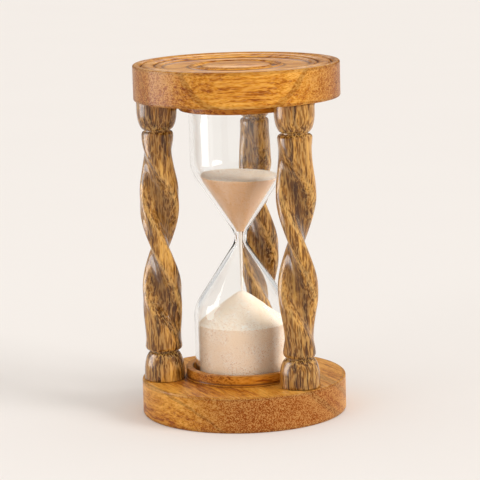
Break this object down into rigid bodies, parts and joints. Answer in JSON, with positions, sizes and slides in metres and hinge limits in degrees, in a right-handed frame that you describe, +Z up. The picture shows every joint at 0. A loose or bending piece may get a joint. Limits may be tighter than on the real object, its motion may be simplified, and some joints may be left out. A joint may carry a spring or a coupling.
{
  "type": "hourglass",
  "caption": "Free-standing hourglass: turned wooden discs joined by twisted wooden columns, with a loose double glass of sand that can be spun in its collars.",
  "frame": {"origin": "centre of the base disc's underside, on the axis of the discs and the glass", "axes": "+Z up from the base disc to the top disc, along the axis that the glass spins on; +X to the right and -Y towards a viewer who sees one column at the left, one at the right in front and one behind"},
  "size_m": [0.178, 0.178, 0.305],
  "materials": {
    "top_disc_wood": "clear satin lacquer over golden-orange wood",
    "base_disc_wood": "clear satin lacquer over red-brown wood",
    "collar_wood": "clear satin lacquer",
    "column_wood": "clear satin lacquer over dark-streaked olive-brown wood",
    "dowel_wood": "bare, glued",
    "clear_glass": "clear blown glass",
    "cork": "bare cork",
    "sand": "fine dry beige sand"
  },
  "bodies": {
    "frame": {"base_disc": "base_disc_wood", "top_disc": "top_disc_wood", "base_collar": "collar_wood", "top_collar": "collar_wood", "base_pad": "cork", "top_pad": "cork", "left_column": "column_wood", "right_column": "column_wood", "rear_column": "column_wood", "left_base_dowel": "dowel_wood", "left_top_dowel": "dowel_wood", "right_base_dowel": "dowel_wood", "right_top_dowel": "dowel_wood", "rear_base_dowel": "dowel_wood", "rear_top_dowel": "dowel_wood"},
    "glass": {"glass_bulb": "clear_glass", "fill_hole_cork": "cork", "upper_sand": "sand", "sand_stream": "sand", "lower_sand": "sand"}
  },
  "joints": [
    {"name": "glass_spin", "type": "hinge", "parent": "frame", "child": "glass", "pos_m": [0, 0, 0.1525], "axis": [0, 0, 1], "continuous": true}
  ]
}
